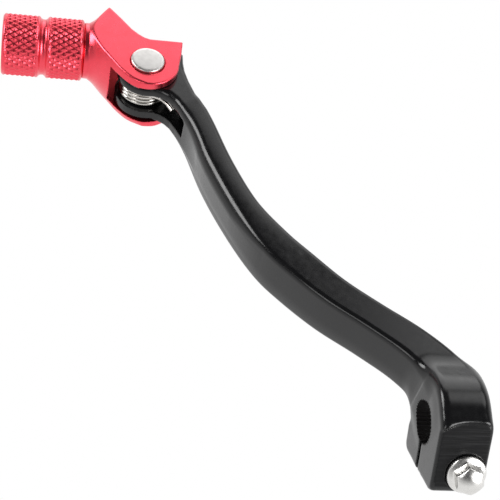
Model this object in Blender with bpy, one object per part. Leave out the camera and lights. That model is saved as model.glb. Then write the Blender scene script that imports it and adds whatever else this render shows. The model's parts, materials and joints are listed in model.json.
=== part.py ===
"""Gear shift lever of a motocross motorcycle, with a folding toe piece that a spring returns.

Frame: the origin lies on the shift shaft's axis, in the outboard face of the clamp. +X runs forward,
from the shaft to the toe piece, +Y runs outboard along the shaft, and +Z is up, along the pivot pin.
Sizes are in millimetres, and each mesh is scaled to metres when it becomes an object. The toe
piece's own pieces are drawn about the pivot pin's axis and hang on an empty that stands there.
"""

import math

import bmesh
import bpy
from mathutils import Matrix, Vector

MM = 0.001
GAP = 0.3  # clearance between pieces that touch

# Clamp eye. The bolt's axis rises rearward at CLAMP_PITCH, and the slot runs square to it.
CLAMP_WIDTH = 16.8
CLAMP_PITCH = math.radians(32)
EYE_RADIUS = 15.6
BORE_RADIUS = 7.0
SPLINE_TEETH = 36
SPLINE_DEPTH = 0.55
CLAMP_SLOT = 2.0
BOLT_SEAT = 14.4
FAR_JAW = 13.6
CLAMP_DEPTH = 16.4
BOLT_DEPTH = 9.1
BOLT_INSET = 10.3
BOLT_RADIUS = 3.0
FLANGE_RADIUS = 6.05
BOLT_HEX = 8.0
BOLT_TURN = math.radians(12)

# Bar: (x, y, width, underside) along its centre line, seen from above.
BAR = [
    (1.0, -8.4, 15.6, -7.4),
    (9.0, -7.8, 15.4, -7.4),
    (14.8, -5.6, 13.9, -7.4),
    (23.2, 2.1, 12.3, -7.5),
    (32.0, 13.4, 11.3, -7.6),
    (41.2, 25.3, 11.7, -7.7),
    (51.5, 35.6, 12.1, -7.9),
    (60.3, 43.1, 11.5, -8.2),
    (73.9, 51.4, 9.3, -8.4),
    (91.9, 58.9, 8.9, -8.2),
    (109.8, 64.5, 8.3, -7.0),
    (117.5, 68.2, 8.0, -5.8),
]
BAR_TOP = 9.7
BAR_CORNER = 2.2

# Fork and toe piece, about the pivot pin's axis.
PIVOT = Vector((132.0, 83.0, 0.0))
EAR_TOP = 9.9
EAR_BOTTOM = -5.1
EAR_RADIUS = 10.6
EAR_INSET = 0.5
EAR_FRONT = 9.3
EAR_INBOARD = 13.2
SLOT_TOP = 6.4
SLOT_BOTTOM = -1.3
PIN_RADIUS = 4.0
PIN_HEAD_RADIUS = 5.8
PIN_HEAD_TOP = 14.0
BUSH_RADIUS = 5.3

CHEEK_TOP = 12.9
CHEEK_BOTTOM = -8.1
CHEEK_THICKNESS = 2.7
CHEEK_RADIUS = 11.0
CHEEK_FRONT = 11.4
THROAT = 12.5
THROAT_CORNER = 2.8

# Peg, turned about an axis along Y at PEG_X.
PEG_X = 13.8
PEG_Z = 2.4
PEG_START = 21.7
PEG_END = 50.5
PEG_RADIUS = 10.9
PEG_GROOVE = (34.9, 37.2)
PEG_GROOVE_DEPTH = 1.1
NECK_RADIUS = 9.8
SPIGOT = 10.0
SPIGOT_END = 40.7
PEG_WEB = (41.0, 43.2)
PEG_SCREW_RADIUS = 3.0
PEG_SCREW_HEAD = 5.0

# Torsion spring round the pin.
WIRE = 1.5
COIL_RADIUS = 7.85
COIL_LOW = -0.3
COIL_HIGH = 4.75
COIL_START = math.radians(90)
COIL_END = math.radians(150 + 3 * 360)

CLAMP_E = Vector((-math.cos(CLAMP_PITCH), 0, math.sin(CLAMP_PITCH)))
CLAMP_K = Vector((-math.sin(CLAMP_PITCH), 0, -math.cos(CLAMP_PITCH)))


def axes(x, y, z, origin=(0, 0, 0)):
    """Matrix of a local frame, from its three unit axes and its origin."""
    matrix = Matrix((x, y, z)).transposed().to_4x4()
    matrix.translation = origin
    return matrix


CLAMP_FRAME = axes(CLAMP_E, CLAMP_K, Vector((0, -1, 0)))
BOLT_FRAME = axes(CLAMP_K, Vector((0, -1, 0)), CLAMP_E, CLAMP_K * BOLT_DEPTH - Vector((0, BOLT_INSET, 0)))
PEG_FRAME = axes(Vector((0, 0, 1)), Vector((1, 0, 0)), Vector((0, 1, 0)), (PEG_X, 0, PEG_Z))
THROAT_FRAME = axes(Vector((0, 1, 0)), Vector((0, 0, 1)), Vector((1, 0, 0)))
AT_PIVOT = Matrix.Translation(PIVOT)


def clear_scene():
    for old in list(bpy.data.objects):
        bpy.data.objects.remove(old, do_unlink=True)


def material(name, colour, roughness, metallic):
    made = bpy.data.materials.new(name)
    made.use_nodes = True
    shader = made.node_tree.nodes["Principled BSDF"]
    shader.inputs["Base Color"].default_value = (*colour, 1)
    shader.inputs["Roughness"].default_value = roughness
    shader.inputs["Metallic"].default_value = metallic
    made.diffuse_color = (*colour, 1)
    return made


def arc(centre, radius, start, end, steps):
    """Points on a circle, from one angle to another in degrees."""
    angles = [math.radians(start + (end - start) * i / steps) for i in range(steps + 1)]
    return [(centre[0] + radius * math.cos(a), centre[1] + radius * math.sin(a)) for a in angles]


def smooth(points, steps):
    """Points on a Catmull-Rom curve through the given ones, steps to each stretch."""
    rows = [Vector(p) for p in points]
    rows = [rows[0] * 2 - rows[1]] + rows + [rows[-1] * 2 - rows[-2]]
    result = []
    for a, b, c, d in zip(rows, rows[1:], rows[2:], rows[3:]):
        for i in range(steps):
            t = i / steps
            result.append(
                (2 * b + (c - a) * t + (2 * a - 5 * b + 4 * c - d) * t * t + (3 * b - a - 3 * c + d) * t**3) / 2
            )
    return result + [rows[-2]]


def prism(outline, low, high):
    """A flat outline in x and y, raised from low to high along z."""
    bm = bmesh.new()
    base = bm.faces.new([bm.verts.new((x, y, low)) for x, y in outline])
    raised = bmesh.ops.extrude_face_region(bm, geom=[base])["geom"]
    corners = [v for v in raised if isinstance(v, bmesh.types.BMVert)]
    bmesh.ops.translate(bm, vec=(0, 0, high - low), verts=corners)
    return bm


def turned(profile, ring=False, sides=48):
    """A profile of (radius, height) points turned about z. The profile of a ring closes on itself."""
    bm = bmesh.new()
    loops = []
    for radius, height in profile:
        count = sides if radius > 0 else 1
        turns = [math.tau * i / count for i in range(count)]
        loops.append([bm.verts.new((radius * math.cos(a), radius * math.sin(a), height)) for a in turns])
    pairs = list(zip(loops, loops[1:]))
    if ring:
        pairs.append((loops[-1], loops[0]))
    for lower, upper in pairs:
        for i in range(sides):
            corners = [
                lower[i % len(lower)],
                lower[(i + 1) % len(lower)],
                upper[(i + 1) % len(upper)],
                upper[i % len(upper)],
            ]
            bm.faces.new(list(dict.fromkeys(corners)))
    return bm


def tube(inner, outer, low, high, chamfer=0.3):
    """A plain sleeve with its outer edges broken."""
    outside = [(outer - chamfer, low), (outer, low + chamfer), (outer, high - chamfer), (outer - chamfer, high)]
    return turned([(inner, low), *outside, (inner, high)], ring=True)


def rod(radius, low, high):
    return turned([(0, low), (radius, low), (radius, high), (0, high)])


def solid(name, bm, frame=Matrix.Identity(4), finish=None, parent=None):
    """Turns a bmesh in millimetres into an object in metres, at its place in the given frame."""
    bmesh.ops.transform(bm, matrix=Matrix.Scale(MM, 4) @ frame, verts=bm.verts)
    bmesh.ops.recalc_face_normals(bm, faces=bm.faces)
    mesh = bpy.data.meshes.new(name)
    bm.to_mesh(mesh)
    bm.free()
    made = bpy.data.objects.new(name, mesh)
    bpy.context.scene.collection.objects.link(made)
    made.parent = parent
    if finish:
        mesh.materials.append(finish)
    return made


def bevel(piece, width, segments=2):
    """Rounds the piece's sharp edges."""
    modifier = piece.modifiers.new("rounded_edges", "BEVEL")
    modifier.width = width * MM
    modifier.segments = segments
    modifier.limit_method = "ANGLE"
    modifier.angle_limit = math.radians(50)
    settle(piece)


def settle(piece):
    """Makes the mesh that the piece's modifiers give its own mesh."""
    bpy.context.view_layer.update()
    shown = piece.evaluated_get(bpy.context.evaluated_depsgraph_get())
    mesh = bpy.data.meshes.new_from_object(shown)
    piece.modifiers.clear()
    piece.data = mesh


def combine(piece, other, operation):
    """Joins another solid to the piece, cuts it away, or keeps what they share."""
    modifier = piece.modifiers.new(operation.lower(), "BOOLEAN")
    modifier.operation = operation
    modifier.solver = "EXACT"
    modifier.object = other
    settle(piece)
    bpy.data.objects.remove(other, do_unlink=True)


def shade(piece, angle=35):
    piece.data.shade_smooth()
    piece.data.set_sharp_from_angle(angle=math.radians(angle))


def rounded_box(width, height, radius, steps=3):
    """A rectangle with rounded corners about (0, 0)."""
    outline = []
    for i, (sx, sy) in enumerate([(1, 1), (-1, 1), (-1, -1), (1, -1)]):
        centre = (sx * (width / 2 - radius), sy * (height / 2 - radius))
        outline += arc(centre, radius, 90 * i, 90 * i + 90, steps)
    return outline


def swept_bar():
    """The bar: an upright rounded rectangle swept along the centre line in BAR."""
    bm = bmesh.new()
    rows = smooth(BAR, 3)
    rings = []
    for i, row in enumerate(rows):
        ahead = rows[min(i + 1, len(rows) - 1)]
        behind = rows[max(i - 1, 0)]
        heading = Vector((ahead.x - behind.x, ahead.y - behind.y, 0)).normalized()
        across = Vector((-heading.y, heading.x, 0))
        centre = Vector((row.x, row.y, (BAR_TOP + row.w) / 2))
        section = rounded_box(row.z, BAR_TOP - row.w, BAR_CORNER)
        rings.append([bm.verts.new(centre + across * s + Vector((0, 0, t))) for s, t in section])
    for near, far in zip(rings, rings[1:]):
        for i in range(len(near)):
            j = (i + 1) % len(near)
            bm.faces.new([near[i], near[j], far[j], far[i]])
    bm.faces.new(rings[0])
    bm.faces.new(rings[-1])
    return solid("bar", bm)


def clamp_blank():
    """The eye and its two jaws, in the clamp's frame: x to the bolt's head, y down the slot."""
    left = math.degrees(math.asin(math.sqrt(1 - (FAR_JAW / EYE_RADIUS) ** 2)))
    right = math.degrees(math.acos(BOLT_SEAT / EYE_RADIUS))
    outline = arc((0, 0), EYE_RADIUS, 180 + left, 360 - right, 24)
    outline += [(BOLT_SEAT, CLAMP_DEPTH - 2.6)]
    outline += arc((BOLT_SEAT - 2.6, CLAMP_DEPTH - 2.6), 2.6, 15, 90, 4)
    outline += [(-FAR_JAW + 3.2, CLAMP_DEPTH), (-FAR_JAW, CLAMP_DEPTH - 3.2)]
    blank = solid("clamp", prism(outline, 0, CLAMP_WIDTH), CLAMP_FRAME)
    bevel(blank, 1.6)
    return blank


def splined_bore():
    """The cutter for the bore, with a tooth space for each serration of the shaft."""
    outline = []
    for i in range(2 * SPLINE_TEETH):
        radius = BORE_RADIUS if i % 2 else BORE_RADIUS - SPLINE_DEPTH
        angle = math.pi * i / SPLINE_TEETH
        outline.append((radius * math.cos(angle), radius * math.sin(angle)))
    return solid("bore", prism(outline, -2, CLAMP_WIDTH + 2), CLAMP_FRAME)


def clamp_slot():
    half = CLAMP_SLOT / 2
    outline = [(-half, BORE_RADIUS - 2), (half, BORE_RADIUS - 2), (half, CLAMP_DEPTH + 3), (-half, CLAMP_DEPTH + 3)]
    return solid("slot", prism(outline, -2, CLAMP_WIDTH + 2), CLAMP_FRAME)


def bolt_hole():
    """Clearance for the bolt's shank, and the shallow spot face under its flange."""
    seat = BOLT_SEAT - GAP
    face = FLANGE_RADIUS + 0.7
    radius = BOLT_RADIUS + GAP
    profile = [(0, -FAR_JAW - 4), (radius, -FAR_JAW - 4), (radius, seat)]
    profile += [(face, seat), (face, seat + 6), (0, seat + 6)]
    return solid("bolt_hole", turned(profile), BOLT_FRAME)


def fork_blank():
    """Both ears and the stretch behind them, as one block seen from above."""
    outline = [(EAR_FRONT, -EAR_INBOARD), (EAR_FRONT, 4.0)]
    outline += arc((0, -EAR_INSET), EAR_RADIUS, 30, 192, 20)
    outline += [(-11.2, -5.2), (-12.4, -7.2), (-14.4, -9.1), (-17.6, -10.9), (-21.0, -12.2)]
    outline += [(-22.0, -21.4), (-17.0, -20.3), (-11.0, -17.4), (-4.0, -14.9), (1.0, -13.6), (5.0, -EAR_INBOARD)]
    blank = solid("fork", prism(outline, EAR_BOTTOM, EAR_TOP), AT_PIVOT)
    bevel(blank, 0.8, 1)
    return blank


def fork_slot():
    """The slot for the coils, with the pocket behind it that holds the spring's leg."""
    floor = COIL_RADIUS + WIRE / 2 + 1.2
    outline = [(18, -24), (18, 16), (-16, 16), (-24, -5), (-21.0, -14.0), (-19.0, -15.9), (-14.0, -15.0)]
    outline += [(-floor, -13.0), (-floor, -24)]
    return solid("fork_slot", prism(outline, SLOT_BOTTOM, SLOT_TOP), AT_PIVOT)


def lever_arm(finish):
    arm = swept_bar()
    arm.name = "lever_arm"
    combine(arm, clamp_blank(), "UNION")
    combine(arm, fork_blank(), "UNION")
    combine(arm, splined_bore(), "DIFFERENCE")
    combine(arm, clamp_slot(), "DIFFERENCE")
    combine(arm, bolt_hole(), "DIFFERENCE")
    combine(arm, fork_slot(), "DIFFERENCE")
    bush_hole = solid("bush_hole", rod(BUSH_RADIUS + GAP, EAR_BOTTOM - 2, EAR_TOP + 2), AT_PIVOT)
    combine(arm, bush_hole, "DIFFERENCE")
    arm.data.materials.clear()
    arm.data.materials.append(finish)
    shade(arm)


def clamp_bolt(finish):
    """Flange bolt with a domed hexagon head, threaded into the far jaw."""
    flange = [
        (0, -FAR_JAW + 0.5),
        (BOLT_RADIUS - 0.6, -FAR_JAW + 0.5),
        (BOLT_RADIUS, -FAR_JAW + 1.1),
        (BOLT_RADIUS, BOLT_SEAT),
        (FLANGE_RADIUS, BOLT_SEAT),
        (FLANGE_RADIUS, BOLT_SEAT + 0.9),
        (BOLT_HEX / 2 + 0.4, BOLT_SEAT + 1.9),
        (0, BOLT_SEAT + 1.9),
    ]
    bolt = solid("clamp_bolt", turned(flange), BOLT_FRAME, finish)
    corner = BOLT_HEX / math.sqrt(3)
    angles = [BOLT_TURN + math.pi * i / 3 for i in range(6)]
    hexagon = [(corner * math.cos(a), corner * math.sin(a)) for a in angles]
    head = solid("head", prism(hexagon, BOLT_SEAT + 1.0, BOLT_SEAT + 7.0), BOLT_FRAME)
    top = BOLT_SEAT + 6.2
    dome = [(0, 0), (corner + 1, 0), (corner + 1, top - 2.0)]
    dome += [(corner, top - 1.6), (corner * 0.75, top - 0.5), (0, top)]
    combine(head, solid("dome", turned(dome), BOLT_FRAME), "INTERSECT")
    combine(bolt, head, "UNION")
    bolt.data.materials.clear()
    bolt.data.materials.append(finish)
    shade(bolt, 25)


def flare_profile():
    """(radius, y) of the turned flare, from the peg's neck to where the cheeks run past it."""
    flare = [(NECK_RADIUS, 20.0), (11.2, 18.0), (13.8, 15.5), (17.2, 12.4), (21.3, 9.0), (24.8, 5.0), (27.0, 0.0)]
    return [(p.x, p.y) for p in smooth(flare, 3)]


def cheek_outline():
    """The cheeks seen from above. The turned flare trims what runs past it outboard."""
    outline = [(CHEEK_FRONT, -12.6), (CHEEK_FRONT + 0.1, -1.2)]
    outline += [(12.2, 0.8), (13.6, 2.8), (15.9, 5.2), (21.2, 9.1), (26.1, 13.0), (34.0, 19.3)]
    outline += [(34.0, 30.0), (-20.0, 30.0), (-20.0, 2.5)]
    outline += arc((0, 0), CHEEK_RADIUS, 167, 268, 16)
    return outline + [(5.9, -12.1)]


def throat():
    """The slot between the cheeks, with rounded corners at its floor."""
    height = CHEEK_TOP - CHEEK_BOTTOM - 2 * CHEEK_THICKNESS
    middle = (CHEEK_TOP + CHEEK_BOTTOM) / 2
    depth = 40.0
    outline = [(THROAT - depth / 2 + s, middle + t) for s, t in rounded_box(depth, height, THROAT_CORNER, 4)]
    return solid("throat", prism(outline, -40, 60), THROAT_FRAME)


def tip_body(finish, pivot):
    """Clevis with two cheeks, a turned flare and neck, and a square spigot for the peg."""
    flare = flare_profile()
    profile = [(0, PEG_START - GAP), (NECK_RADIUS - 0.9, PEG_START - GAP), (NECK_RADIUS, PEG_START - 1.2)]
    profile += flare + [(27.0, -24.0), (0, -24.0)]
    body = solid("tip_body", turned(profile, sides=72), PEG_FRAME, finish)
    combine(body, solid("cheeks", prism(cheek_outline(), CHEEK_BOTTOM, CHEEK_TOP)), "INTERSECT")
    combine(body, throat(), "DIFFERENCE")
    near, far = EAR_FRONT + GAP, CHEEK_FRONT - 0.05
    stop = [(near, -12.3), (far, -12.3), (far, -4.5), (near, -4.5)]
    inside = CHEEK_THICKNESS - 0.6
    combine(body, solid("stop", prism(stop, CHEEK_BOTTOM + inside, CHEEK_TOP - inside)), "UNION")
    spigot = rounded_box(SPIGOT, SPIGOT, 0.8)
    combine(body, solid("spigot", prism(spigot, THROAT + 3.0, SPIGOT_END), PEG_FRAME), "UNION")
    combine(body, solid("thread", rod(PEG_SCREW_RADIUS + GAP, 26.0, SPIGOT_END + 1), PEG_FRAME), "DIFFERENCE")
    seat = CHEEK_TOP - GAP
    radius = PIN_RADIUS + GAP
    recess = PIN_HEAD_RADIUS + GAP
    hole = [(0, -20), (radius, -20), (radius, seat), (recess, seat), (recess, 20), (0, 20)]
    combine(body, solid("pin_hole", turned(hole)), "DIFFERENCE")
    leg = spring_route()[0]
    leg_hole = [(leg.x + x, leg.y + y) for x, y in arc((0, 0), WIRE / 2 + GAP, 0, 330, 11)]
    combine(body, solid("leg_hole", prism(leg_hole, -20, SLOT_BOTTOM)), "DIFFERENCE")
    body.data.materials.clear()
    body.data.materials.append(finish)
    body.parent = pivot
    shade(body)


def knurled_peg(finish, pivot):
    """Two-band peg with a square hole for the spigot and a counterbore for its screw."""
    outer = PEG_RADIUS
    groove_start, groove_end = PEG_GROOVE
    web_start, web_end = PEG_WEB
    profile = [
        (0, PEG_START),
        (outer - 0.9, PEG_START),
        (outer, PEG_START + 0.8),
        (outer, groove_start - 0.5),
        (outer - PEG_GROOVE_DEPTH, groove_start + 0.4),
        (outer - PEG_GROOVE_DEPTH, groove_end - 0.4),
        (outer, groove_end + 0.5),
        (outer, PEG_END - 0.9),
        (outer - 1.0, PEG_END),
        (0, PEG_END),
    ]
    peg = solid("knurled_peg", turned(profile, sides=72), PEG_FRAME, finish)
    hole = rounded_box(SPIGOT + 2 * GAP, SPIGOT + 2 * GAP, 0.8)
    combine(peg, solid("square", prism(hole, PEG_START - 2, web_start), PEG_FRAME), "DIFFERENCE")
    shank = PEG_SCREW_RADIUS + GAP
    head = PEG_SCREW_HEAD + 0.9
    bore = [(0, web_start - 2), (shank, web_start - 2), (shank, web_end)]
    bore += [(head, web_end), (head, PEG_END + 2), (0, PEG_END + 2)]
    combine(peg, solid("counterbore", turned(bore), PEG_FRAME), "DIFFERENCE")
    peg.data.materials.clear()
    peg.data.materials.append(finish)
    peg.parent = pivot
    shade(peg)


def peg_screw(finish, pivot):
    """Low socket head cap screw along the peg's axis."""
    under = PEG_WEB[1] + 2 * GAP + 1.3
    top = PEG_END - 0.5
    profile = [
        (0, 28.0),
        (PEG_SCREW_RADIUS - 0.6, 28.0),
        (PEG_SCREW_RADIUS, 28.6),
        (PEG_SCREW_RADIUS, under),
        (PEG_SCREW_HEAD, under),
        (PEG_SCREW_HEAD, top - 0.5),
        (PEG_SCREW_HEAD - 0.5, top),
        (0, top),
    ]
    screw = solid("peg_screw", turned(profile), PEG_FRAME, finish)
    corner = 5.0 / math.sqrt(3)
    hexagon = [(corner * math.cos(math.pi * i / 3), corner * math.sin(math.pi * i / 3)) for i in range(6)]
    combine(screw, solid("socket", prism(hexagon, top - 3.0, top + 2), PEG_FRAME), "DIFFERENCE")
    screw.data.materials.clear()
    screw.data.materials.append(finish)
    screw.parent = pivot
    shade(screw)


def split_ring(inner, outer, opening):
    """Outline of a flat ring, open over the given angle about +x."""
    outline = arc((0, 0), outer, opening / 2, 360 - opening / 2, 32)
    return outline + arc((0, 0), inner, 360 - opening / 2, opening / 2, 32)


def pivot_pin(finish, pivot):
    """Headed pin with a groove for the retaining ring near its lower end."""
    groove = CHEEK_BOTTOM - 1.4 - GAP
    profile = [
        (0, groove - 2.8),
        (PIN_RADIUS - 0.6, groove - 2.8),
        (PIN_RADIUS, groove - 2.2),
        (PIN_RADIUS, groove - 1.2),
        (PIN_RADIUS - 0.8, groove - 1.2),
        (PIN_RADIUS - 0.8, groove),
        (PIN_RADIUS, groove),
        (PIN_RADIUS, CHEEK_TOP),
        (PIN_HEAD_RADIUS, CHEEK_TOP),
        (PIN_HEAD_RADIUS, PIN_HEAD_TOP - 0.25),
        (PIN_HEAD_RADIUS - 0.3, PIN_HEAD_TOP),
        (0, PIN_HEAD_TOP),
    ]
    shade(solid("pivot_pin", turned(profile), finish=finish, parent=pivot))


def spring_route():
    """The wire's centre line about the pin: the toe piece's leg, the coils, and the arm's leg."""
    reach = 8.6
    bend = 1.6
    route = [Vector((reach, COIL_RADIUS, CHEEK_BOTTOM + 1.0)), Vector((reach, COIL_RADIUS, COIL_LOW - 2.6))]
    for i in range(6):
        angle = math.radians(90 * i / 5)
        drop = bend * (1 - math.sin(angle))
        route.append(Vector((reach - bend * (1 - math.cos(angle)), COIL_RADIUS, COIL_LOW - drop)))
    route += [Vector((reach * f, COIL_RADIUS, COIL_LOW)) for f in (0.5, 0.2)]
    turns = 84
    for i in range(turns + 1):
        share = i / turns
        angle = COIL_START + (COIL_END - COIL_START) * share
        height = COIL_LOW + (COIL_HIGH - COIL_LOW) * share
        route.append(Vector((COIL_RADIUS * math.cos(angle), COIL_RADIUS * math.sin(angle), height)))
    tangent = Vector((-math.sin(COIL_END), math.cos(COIL_END), 0))
    return route + [route[-1] + tangent * d for d in (3.0, 7.0, 12.5, 15.5)]


def return_spring(finish):
    curve = bpy.data.curves.new("return_spring", "CURVE")
    curve.dimensions = "3D"
    curve.bevel_depth = WIRE / 2 * MM
    curve.bevel_resolution = 2
    curve.use_fill_caps = True
    route = spring_route()
    line = curve.splines.new("POLY")
    line.points.add(len(route) - 1)
    for point, place in zip(line.points, route):
        point.co = (*(place * MM), 1)
    spring = bpy.data.objects.new("return_spring", curve)
    spring.location = PIVOT * MM
    bpy.context.scene.collection.objects.link(spring)
    curve.materials.append(finish)


def main():
    clear_scene()
    black = material("gloss_black", (0.012, 0.012, 0.014), 0.22, 0.0)
    red = material("red_anodise", (0.72, 0.02, 0.05), 0.3, 0.85)
    steel = material("bright_steel", (0.72, 0.71, 0.69), 0.22, 1.0)
    spring_steel = material("spring_steel", (0.62, 0.60, 0.57), 0.28, 1.0)
    bronze = material("bronze", (0.55, 0.36, 0.14), 0.35, 1.0)

    pivot = bpy.data.objects.new("toe_pivot", None)
    pivot.location = PIVOT * MM
    bpy.context.scene.collection.objects.link(pivot)

    lever_arm(black)
    clamp_bolt(steel)
    for name, low, high in (("upper_bush", SLOT_TOP, EAR_TOP), ("lower_bush", EAR_BOTTOM, SLOT_BOTTOM)):
        shade(solid(name, tube(PIN_RADIUS + GAP, BUSH_RADIUS, low, high), AT_PIVOT, bronze))
    collar = tube(PIN_RADIUS + GAP, 6.1, SLOT_BOTTOM + GAP, SLOT_TOP - GAP)
    shade(solid("spring_collar", collar, AT_PIVOT, steel))
    return_spring(spring_steel)

    tip_body(red, pivot)
    knurled_peg(red, pivot)
    peg_screw(steel, pivot)
    pivot_pin(steel, pivot)
    washer = tube(PIN_RADIUS + GAP, 7.2, CHEEK_BOTTOM - GAP - 1.0, CHEEK_BOTTOM - GAP, 0.2)
    shade(solid("pin_washer", washer, finish=steel, parent=pivot))
    ring_top = CHEEK_BOTTOM - 1.4 - 1.5 * GAP
    ring = prism(split_ring(PIN_RADIUS - 0.5, PIN_RADIUS + 1.7, 50), ring_top - 0.9, ring_top)
    shade(solid("retaining_ring", ring, finish=spring_steel, parent=pivot))
    seat = PEG_WEB[1] + GAP
    lock = prism(split_ring(PEG_SCREW_RADIUS + GAP, PEG_SCREW_HEAD, 12), seat, seat + 1.3)
    shade(solid("peg_lock_washer", lock, PEG_FRAME, spring_steel, pivot))


main()
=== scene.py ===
"""The looks of the gear shift lever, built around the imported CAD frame.

Rounded pieces are made from distance fields: a function gives the signed distance to the surface in
millimetres, negative inside, and a net of quads is drawn where it crosses zero. Turned and wound
pieces are made from their profiles. Everything is in the frame's own axes, in metres once meshed.
"""

import json
import math

import bmesh
import bpy
import numpy as np
from mathutils import Matrix, Vector


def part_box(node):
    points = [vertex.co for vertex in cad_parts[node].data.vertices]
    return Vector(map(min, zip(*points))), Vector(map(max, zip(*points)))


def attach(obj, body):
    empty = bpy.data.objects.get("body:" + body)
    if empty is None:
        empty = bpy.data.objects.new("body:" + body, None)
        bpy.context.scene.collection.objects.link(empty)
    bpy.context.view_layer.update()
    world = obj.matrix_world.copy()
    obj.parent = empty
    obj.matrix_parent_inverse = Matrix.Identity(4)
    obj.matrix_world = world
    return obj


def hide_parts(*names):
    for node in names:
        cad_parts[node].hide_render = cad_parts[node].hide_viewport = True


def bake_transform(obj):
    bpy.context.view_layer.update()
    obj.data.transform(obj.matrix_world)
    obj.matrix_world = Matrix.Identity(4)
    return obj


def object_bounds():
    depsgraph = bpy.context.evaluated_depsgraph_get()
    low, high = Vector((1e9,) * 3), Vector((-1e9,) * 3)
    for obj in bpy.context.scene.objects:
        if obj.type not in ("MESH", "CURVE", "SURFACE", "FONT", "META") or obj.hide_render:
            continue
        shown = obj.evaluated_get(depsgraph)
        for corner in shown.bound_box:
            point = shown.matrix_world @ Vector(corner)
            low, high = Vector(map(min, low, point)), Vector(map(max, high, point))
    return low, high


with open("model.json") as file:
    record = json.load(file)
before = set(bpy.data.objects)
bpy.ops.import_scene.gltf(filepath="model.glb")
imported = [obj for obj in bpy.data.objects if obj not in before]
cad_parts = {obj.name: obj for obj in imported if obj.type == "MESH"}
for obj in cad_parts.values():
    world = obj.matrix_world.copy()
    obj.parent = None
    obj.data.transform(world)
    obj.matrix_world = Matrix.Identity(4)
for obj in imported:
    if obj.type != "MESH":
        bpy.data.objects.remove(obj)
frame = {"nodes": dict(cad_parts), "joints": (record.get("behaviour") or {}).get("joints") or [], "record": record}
cad_low, cad_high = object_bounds()

MM = 0.001
ARM_BODY = "lever"
TOE_BODY = "toe_piece"


def mount(name):
    """A mount's point in millimetres, and its axis."""
    found = next(m for m in frame["record"]["mounts"] if m["name"] == name)
    return np.array(found["pos_m"]) / MM, np.array(found["axis"])


def node_box(name):
    """A CAD node's lowest and highest corners, in millimetres."""
    low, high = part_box(name)
    return np.array(low) / MM, np.array(high) / MM


# Places that the frame gives.
PIVOT = np.array(frame["joints"][0]["pos_m"]) / MM
SEAT_POINT, CLAMP_E = mount("bolt_seat")
CLAMP_K = np.array([-CLAMP_E[2], 0.0, CLAMP_E[0]])
SEAT = float(SEAT_POINT @ CLAMP_E)
CLAMP_WIDTH = -mount("clamp_inboard_face")[0][1]
TIP_LOW, TIP_HIGH = node_box("tip_body")
PEG_LOW, PEG_HIGH = node_box("knurled_peg")
PIN_LOW, PIN_HIGH = node_box("pivot_pin")
PEG_X, PEG_Z = (PEG_LOW[0] + PEG_HIGH[0]) / 2, (PEG_LOW[2] + PEG_HIGH[2]) / 2

# Cells of the nets that the rounded pieces are drawn on.
ARM_CELL = 0.45
TIP_CELL = 0.3
BOLT_CELL = 0.22
SMALL_CELL = 0.2

# Clamp.
EYE_RADIUS = 15.9
EYE_FLAT = -13.5
BORE_RADIUS = 7.0
SPLINE_TEETH = 36
SPLINE_DEPTH = 0.55
NEAR_JAW = 15.5
NEAR_JAW_TOP = 8.6
NEAR_JAW_CORNER = 4.6
FAR_JAW = 14.1
FAR_JAW_INNER = 4.0
FAR_JAW_TOP = 5.0
FAR_JAW_CORNER = 3.6
CLAMP_DEPTH = 16.4
CLAMP_SLOT = 2.0
CLAMP_EDGE = 1.8
EYE_TOP_EDGE = (2.7, 3.9)
FACE_END = 3.0
FACE_CURVE = 0.07
BOLT_DEPTH = 9.1
BOLT_INSET = 10.3
BOLT_RADIUS = 3.0
FLANGE_RADIUS = 6.05
BOLT_HEX = 8.0
BOLT_TURN = math.radians(18)
BOLT_LENGTH = (-13.5, 14.9)
BOLT_DOME = 6.7
SPOT_FACE_RADIUS = 16.8
SPOT_FACE_EDGE = 0.9

# Fork, about the pivot pin's axis.
EAR_TOP = 9.9
EAR_BOTTOM = -5.1
EAR_RADIUS = 10.6
EAR_INSET = 0.5
EAR_FRONT = 9.3
EAR_INBOARD = 13.2
SLOT_TOP = 6.4
SLOT_BOTTOM = -1.3
SLOT_EDGE = 0.7
FORK_EDGE = 0.8
BUSH_HOLE = 5.6

# Bar: (x, y, width, underside) along its centre line, seen from above.
BAR = [
    (1.0, -8.6, 15.4, -7.8),
    (9.0, -7.9, 15.6, -8.0),
    (14.8, -5.6, 14.1, -8.3),
    (23.2, 2.1, 12.4, -8.6),
    (32.0, 13.4, 11.4, -8.8),
    (41.2, 25.3, 11.7, -9.0),
    (51.5, 35.6, 12.1, -9.2),
    (60.3, 43.1, 11.5, -9.4),
    (73.9, 51.4, 9.3, -9.8),
    (91.9, 58.9, 8.9, -10.1),
    (109.8, 64.5, 8.3, -9.2),
    (117.5, 68.2, 8.0, -7.2),
]
BAR_STEPS = 9
BAR_TOP = 9.7
BAR_CROWN = (0.04, 0.45)
BAR_TOP_EDGE = (1.8, 3.4)
BAR_LOWER_EDGE = (2.4, 1.6)
BAR_SWELL = 1.0
BAR_TUCK_HEIGHT = 8.0
BAR_TUCK_CURVE = 75.0

# Stretches of the bar over which its shape changes, in steps along its centre line.
BAR_LEAVES_CLAMP = (0, 32)
BAR_CROWNS = (50, 72)
BAR_WIDENS = (62, 72)
BAR_NARROWS = (84, 92)
BAR_MEETS_FORK = (80, BAR_STEPS * (len(BAR) - 1))

# How softly the arm's shapes run into each other.
SHARP_BLEND = 0.8
FORK_BLEND = 1.6
BARREL_BLEND = 2.0
EYE_BLEND = 5.5

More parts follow.
